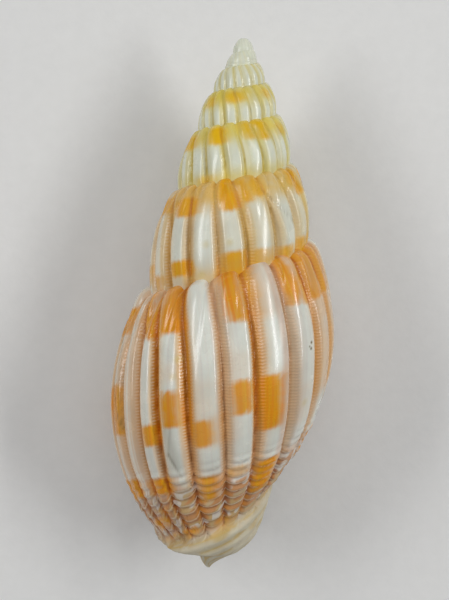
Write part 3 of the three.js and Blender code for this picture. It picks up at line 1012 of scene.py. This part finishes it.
def marked(tree, colour, growth, bands, lines):
    """Lays the faint warm areas and the orange marks over a colour."""
    shade = tree.times(tree.value_of("shade"), tree.step(lines["Clouds"], 0.25, 0.55, 0.6, 1.0))
    colour = tree.mix(shade, colour, tree.mix(growth, SPIRE_SHADE, SHADE_ORANGE))
    ragged = tree.math("MULTIPLY_ADD", lines["Lines"], 0.26, -0.13)
    waving = tree.math("MULTIPLY_ADD", lines["Clouds"], 0.5, ragged)
    mark = tree.step(tree.math("ADD", tree.value_of("mark_distance"), waving), -0.02, 0.42)
    strength = tree.value_of("mark_strength")
    streaked = tree.step(lines["Lines"], 0.3, 0.62, 0.1, 0.8)
    mark_colour = tree.mix(tree.times(strength, streaked), MARK_YELLOW, MARK_ORANGE)
    mark_colour = tree.mix(growth, SPIRE_MARK, mark_colour)
    # Marks go deeper orange in the groove: partly their own colour, partly painted shade in the recess
    deep = tree.times(bands["Groove"], tree.step(growth, 0.0, 1.0, 0.2, 0.85))
    mark_colour = tree.mix(deep, mark_colour, MARK_DEEP_AND_SHADE)
    clouded = tree.step(lines["Clouds"], 0.25, 0.6, 0.93, 1.0)
    mark_share = tree.times(mark, tree.step(strength, 0.0, 0.9, 0.3, 1.0))
    return tree.mix(tree.times(mark_share, clouded), colour, mark_colour)


def spotted(tree, colour, number, share, spots, spot_colour):
    """Small round spots at rib numbers and shares down the last whorls."""
    for at_number, at_share, radius, strength in spots:
        station = np.interp(at_number, *np.array(RIB_SPACES).T[::-1])
        across = tree.times(tree.math("SUBTRACT", number, at_number), float(rib_spacing(station)))
        along = tree.times(tree.math("SUBTRACT", share, at_share), float(whorl_height(station)))
        distance = tree.math("SQRT", tree.math("ADD", tree.times(across, across), tree.times(along, along)))
        colour = tree.mix(tree.step(distance, radius, 0.0, 0.0, strength), colour, spot_colour)
    return colour


def outer_enamel(lines_group, thread_group, bands_group):
    """White glossy ribs, tan to orange spaces crossed by threads, and orange marks in spiral bands."""
    material, tree, shader = new_material("outer_enamel")
    number, share, phase, reach = tree.values_of("rib_number", "spiral_share", "thread_phase", "flank_reach")
    growth, ribbed, base, foot, glaze = tree.values_of("growth", "ribbed", "base", "foot", "glaze")
    lines = place_group(tree, lines_group, {"Rib number": number, "Spiral share": share})
    threads = place_group(tree, thread_group, {"Phase": phase, "Rib number": number})["Height"]
    across = {"Rib number": number, "Threads": threads, "Flank reach": reach}
    bands = place_group(tree, bands_group, across)

    colour = tree.mix(ribbed, SPIRE_CREAM, rib_colour(tree, number, growth, bands, lines))
    colour = base_colour(tree, colour, base, bands, number, lines)
    colour = marked(tree, colour, growth, bands, lines)
    colour = spotted(tree, colour, number, share, OCHRE_SPOTS, SPOT_OCHRE)
    colour = spotted(tree, colour, number, share, DARK_SPOTS, SCAR_BROWN)
    colour = tree.mix(tree.value_of("stain"), colour, SCAR_BROWN)
    colour = tree.mix(tree.times(foot, 0.9), colour, foot_colour(tree, number, lines))
    colour = tree.mix(glaze, colour, PORCELAIN)
    clouds = tree.step(lines["Clouds"], 0.3, 0.7, 0.92, 1.03)
    colour = tree.mix(1.0, colour, tree.combine(clouds, clouds, clouds), "MULTIPLY")

    rough = tree.step(lines["Clouds"], 0.3, 0.7, 0.2, 0.3)
    rough = tree.math("MULTIPLY_ADD", bands["Space"], 0.2, rough)
    rough = tree.math("MULTIPLY_ADD", foot, 0.25, rough)
    coat = tree.step(foot, 0.0, 1.0, 0.2, 0.0)
    tree.fill(shader, {"Base Color": colour, "Roughness": rough, "Coat Weight": coat})
    set_gloss(tree, shader, coat_roughness=0.1, scatter=0.06)
    off_base = tree.math("SUBTRACT", 1.0, tree.larger(base, glaze))
    on_spaces = tree.math("MULTIPLY_ADD", bands["Space"], 0.9, 0.06)
    threads_show = tree.times(on_spaces, tree.times(growth, off_base))
    relief = tree.math("ADD", tree.times(threads, threads_show), tree.times(lines["Lines"], 0.03))
    bumped(tree, shader, relief, distance=0.02 * MM)
    return material


def mouth_porcelain(lines_group, thread_group):
    """The smooth glaze inside the mouth, cream with warmer clouds."""
    material, tree, shader = new_material("mouth_porcelain")
    number, share, phase = tree.values_of("rib_number", "spiral_share", "thread_phase")
    along_ribs = {"Rib number": number, "Spiral share": share, "Lines per rib": 3.0}
    lines = place_group(tree, lines_group, along_ribs)
    phase = tree.times(phase, 0.5)
    threads = place_group(tree, thread_group, {"Phase": phase, "Rib number": number})["Height"]
    colour = tree.mix(tree.step(lines["Clouds"], 0.35, 0.75, 0.0, 0.5), PORCELAIN, PORCELAIN_DEEP)
    rough = tree.step(lines["Lines"], 0.3, 0.7, 0.14, 0.24)
    tree.fill(shader, {"Base Color": colour, "Roughness": rough, "Coat Weight": 0.5})
    set_gloss(tree, shader, coat_roughness=0.06, scatter=0.2)
    bumped(tree, shader, tree.math("ADD", tree.times(threads, 0.1), lines["Lines"]), distance=0.03 * MM)
    return material


def studio_paper():
    material, tree, shader = new_material("studio_paper")
    grain = tree.noise(tree.node("ShaderNodeTexCoord").outputs["Object"], GRAINS_PER_METRE, 4.0)
    tree.fill(shader, {"Base Color": tree.mix(grain, PAPER_GREY, PAPER_WHITE), "Roughness": 0.9})
    bumped(tree, shader, grain, distance=0.1 * MM, strength=0.3)
    return material


def add_object(name, data):
    """A new object in the scene."""
    thing = bpy.data.objects.new(name, data)
    bpy.context.scene.collection.objects.link(thing)
    return thing


def build_shell():
    shell = add_object("shell_body", shell_mesh())
    lines_group, thread_group = growth_lines_group(), threads_group()
    shell.data.materials.append(outer_enamel(lines_group, thread_group, rib_bands_group()))
    shell.data.materials.append(mouth_porcelain(lines_group, thread_group))
    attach(shell, "root")
    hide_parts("shell")


FLOOR_SIZE = 3.0  # metres


def lay_floor():
    half = FLOOR_SIZE / 2
    corners = [(-half, -half, 0), (half, -half, 0), (half, half, 0), (-half, half, 0)]
    mesh = bpy.data.meshes.new("studio_floor")
    mesh.from_pydata(corners, [], [(0, 1, 2, 3)])
    floor = add_object("studio_floor", mesh)
    floor.data.materials.append(studio_paper())


# Camera, from the photograph: it looks at a point on the shell's axis from nearby, a little from
# the apex's side, and leans so that the apex stands to the right
PHOTO_SIZE = (449, 600)
AIM_DEPTH = 20.45
AIM_PIXEL_X = 233.6
CAMERA_DISTANCE = 100.0
CAMERA_TILT = math.radians(6.4)
CAMERA_LEAN = math.atan2(0.0397, 0.9992)  # the way the axis goes in the photograph: right, and up
MM_PER_PIXEL = 42 / 529
SENSOR_HEIGHT = 24.0


def look_at(camera, position, target, up):
    back = (position - target).normalized()
    right = up.cross(back).normalized()
    rows = Matrix((right, back.cross(right), back)).transposed()
    camera.matrix_world = Matrix.Translation(position) @ rows.to_4x4()


def add_camera():
    toward = np.array([0, math.sin(CAMERA_TILT), math.cos(CAMERA_TILT)])
    upright = np.array([0, math.cos(CAMERA_TILT), -math.sin(CAMERA_TILT)])
    across = np.array([1.0, 0, 0])
    right = math.cos(CAMERA_LEAN) * across + math.sin(CAMERA_LEAN) * upright
    up = math.cos(CAMERA_LEAN) * upright - math.sin(CAMERA_LEAN) * across
    aim = laid_down(np.array([0, -AIM_DEPTH, 0])) * FIT["scale"] + FIT["shift"]
    offset = (AIM_PIXEL_X - PHOTO_SIZE[0] / 2) * MM_PER_PIXEL
    target = aim - offset * laid_down(right)
    position = aim + CAMERA_DISTANCE * laid_down(toward)
    data = bpy.data.cameras.new("camera")
    data.sensor_fit = "VERTICAL"
    data.sensor_height = SENSOR_HEIGHT
    data.lens = SENSOR_HEIGHT * CAMERA_DISTANCE / (PHOTO_SIZE[1] * MM_PER_PIXEL)
    data.clip_start = 0.001
    camera = add_object("camera", data)
    look_at(camera, Vector(position * MM), Vector(target * MM), Vector(laid_down(up)))
    bpy.context.scene.camera = camera


LAMPS = [  # name, place, width and length in metres, watts, colour, whether the gloss mirrors it
    ("left", (-0.28, 0.09, 0.26), (0.08, 0.3), 0.5, (0.98, 0.99, 1.0), True),
    ("right", (0.27, 0.08, 0.27), (0.05, 0.3), 0.6, (0.98, 0.99, 1.0), True),
    ("front", (0.03, 0.16, 0.38), (0.36, 0.4), 0.36, (1.0, 1.0, 1.0), False),
]
LAMPS_AIM = Vector((0, 0, 0.008))
LAMPS_UP = Vector((0, 1, 0.1))
SKY = {"Color": (0.9, 0.93, 1.0, 1), "Strength": 0.16}


def add_lights():
    for name, spot, (width, length), watts, colour, mirrored in LAMPS:
        data = bpy.data.lights.new(name, "AREA")
        data.shape = "RECTANGLE"
        data.size = width
        data.size_y = length
        data.energy = watts
        data.color = colour
        lamp = add_object(name, data)
        lamp.visible_glossy = mirrored
        look_at(lamp, Vector(spot), LAMPS_AIM, LAMPS_UP)
    world = bpy.data.worlds.new("studio")
    world.use_nodes = True
    for name, value in SKY.items():
        world.node_tree.nodes["Background"].inputs[name].default_value = value
    bpy.context.scene.world = world


build_shell()
lay_floor()
add_camera()
add_lights()
bpy.context.scene.view_settings.view_transform = "Standard"
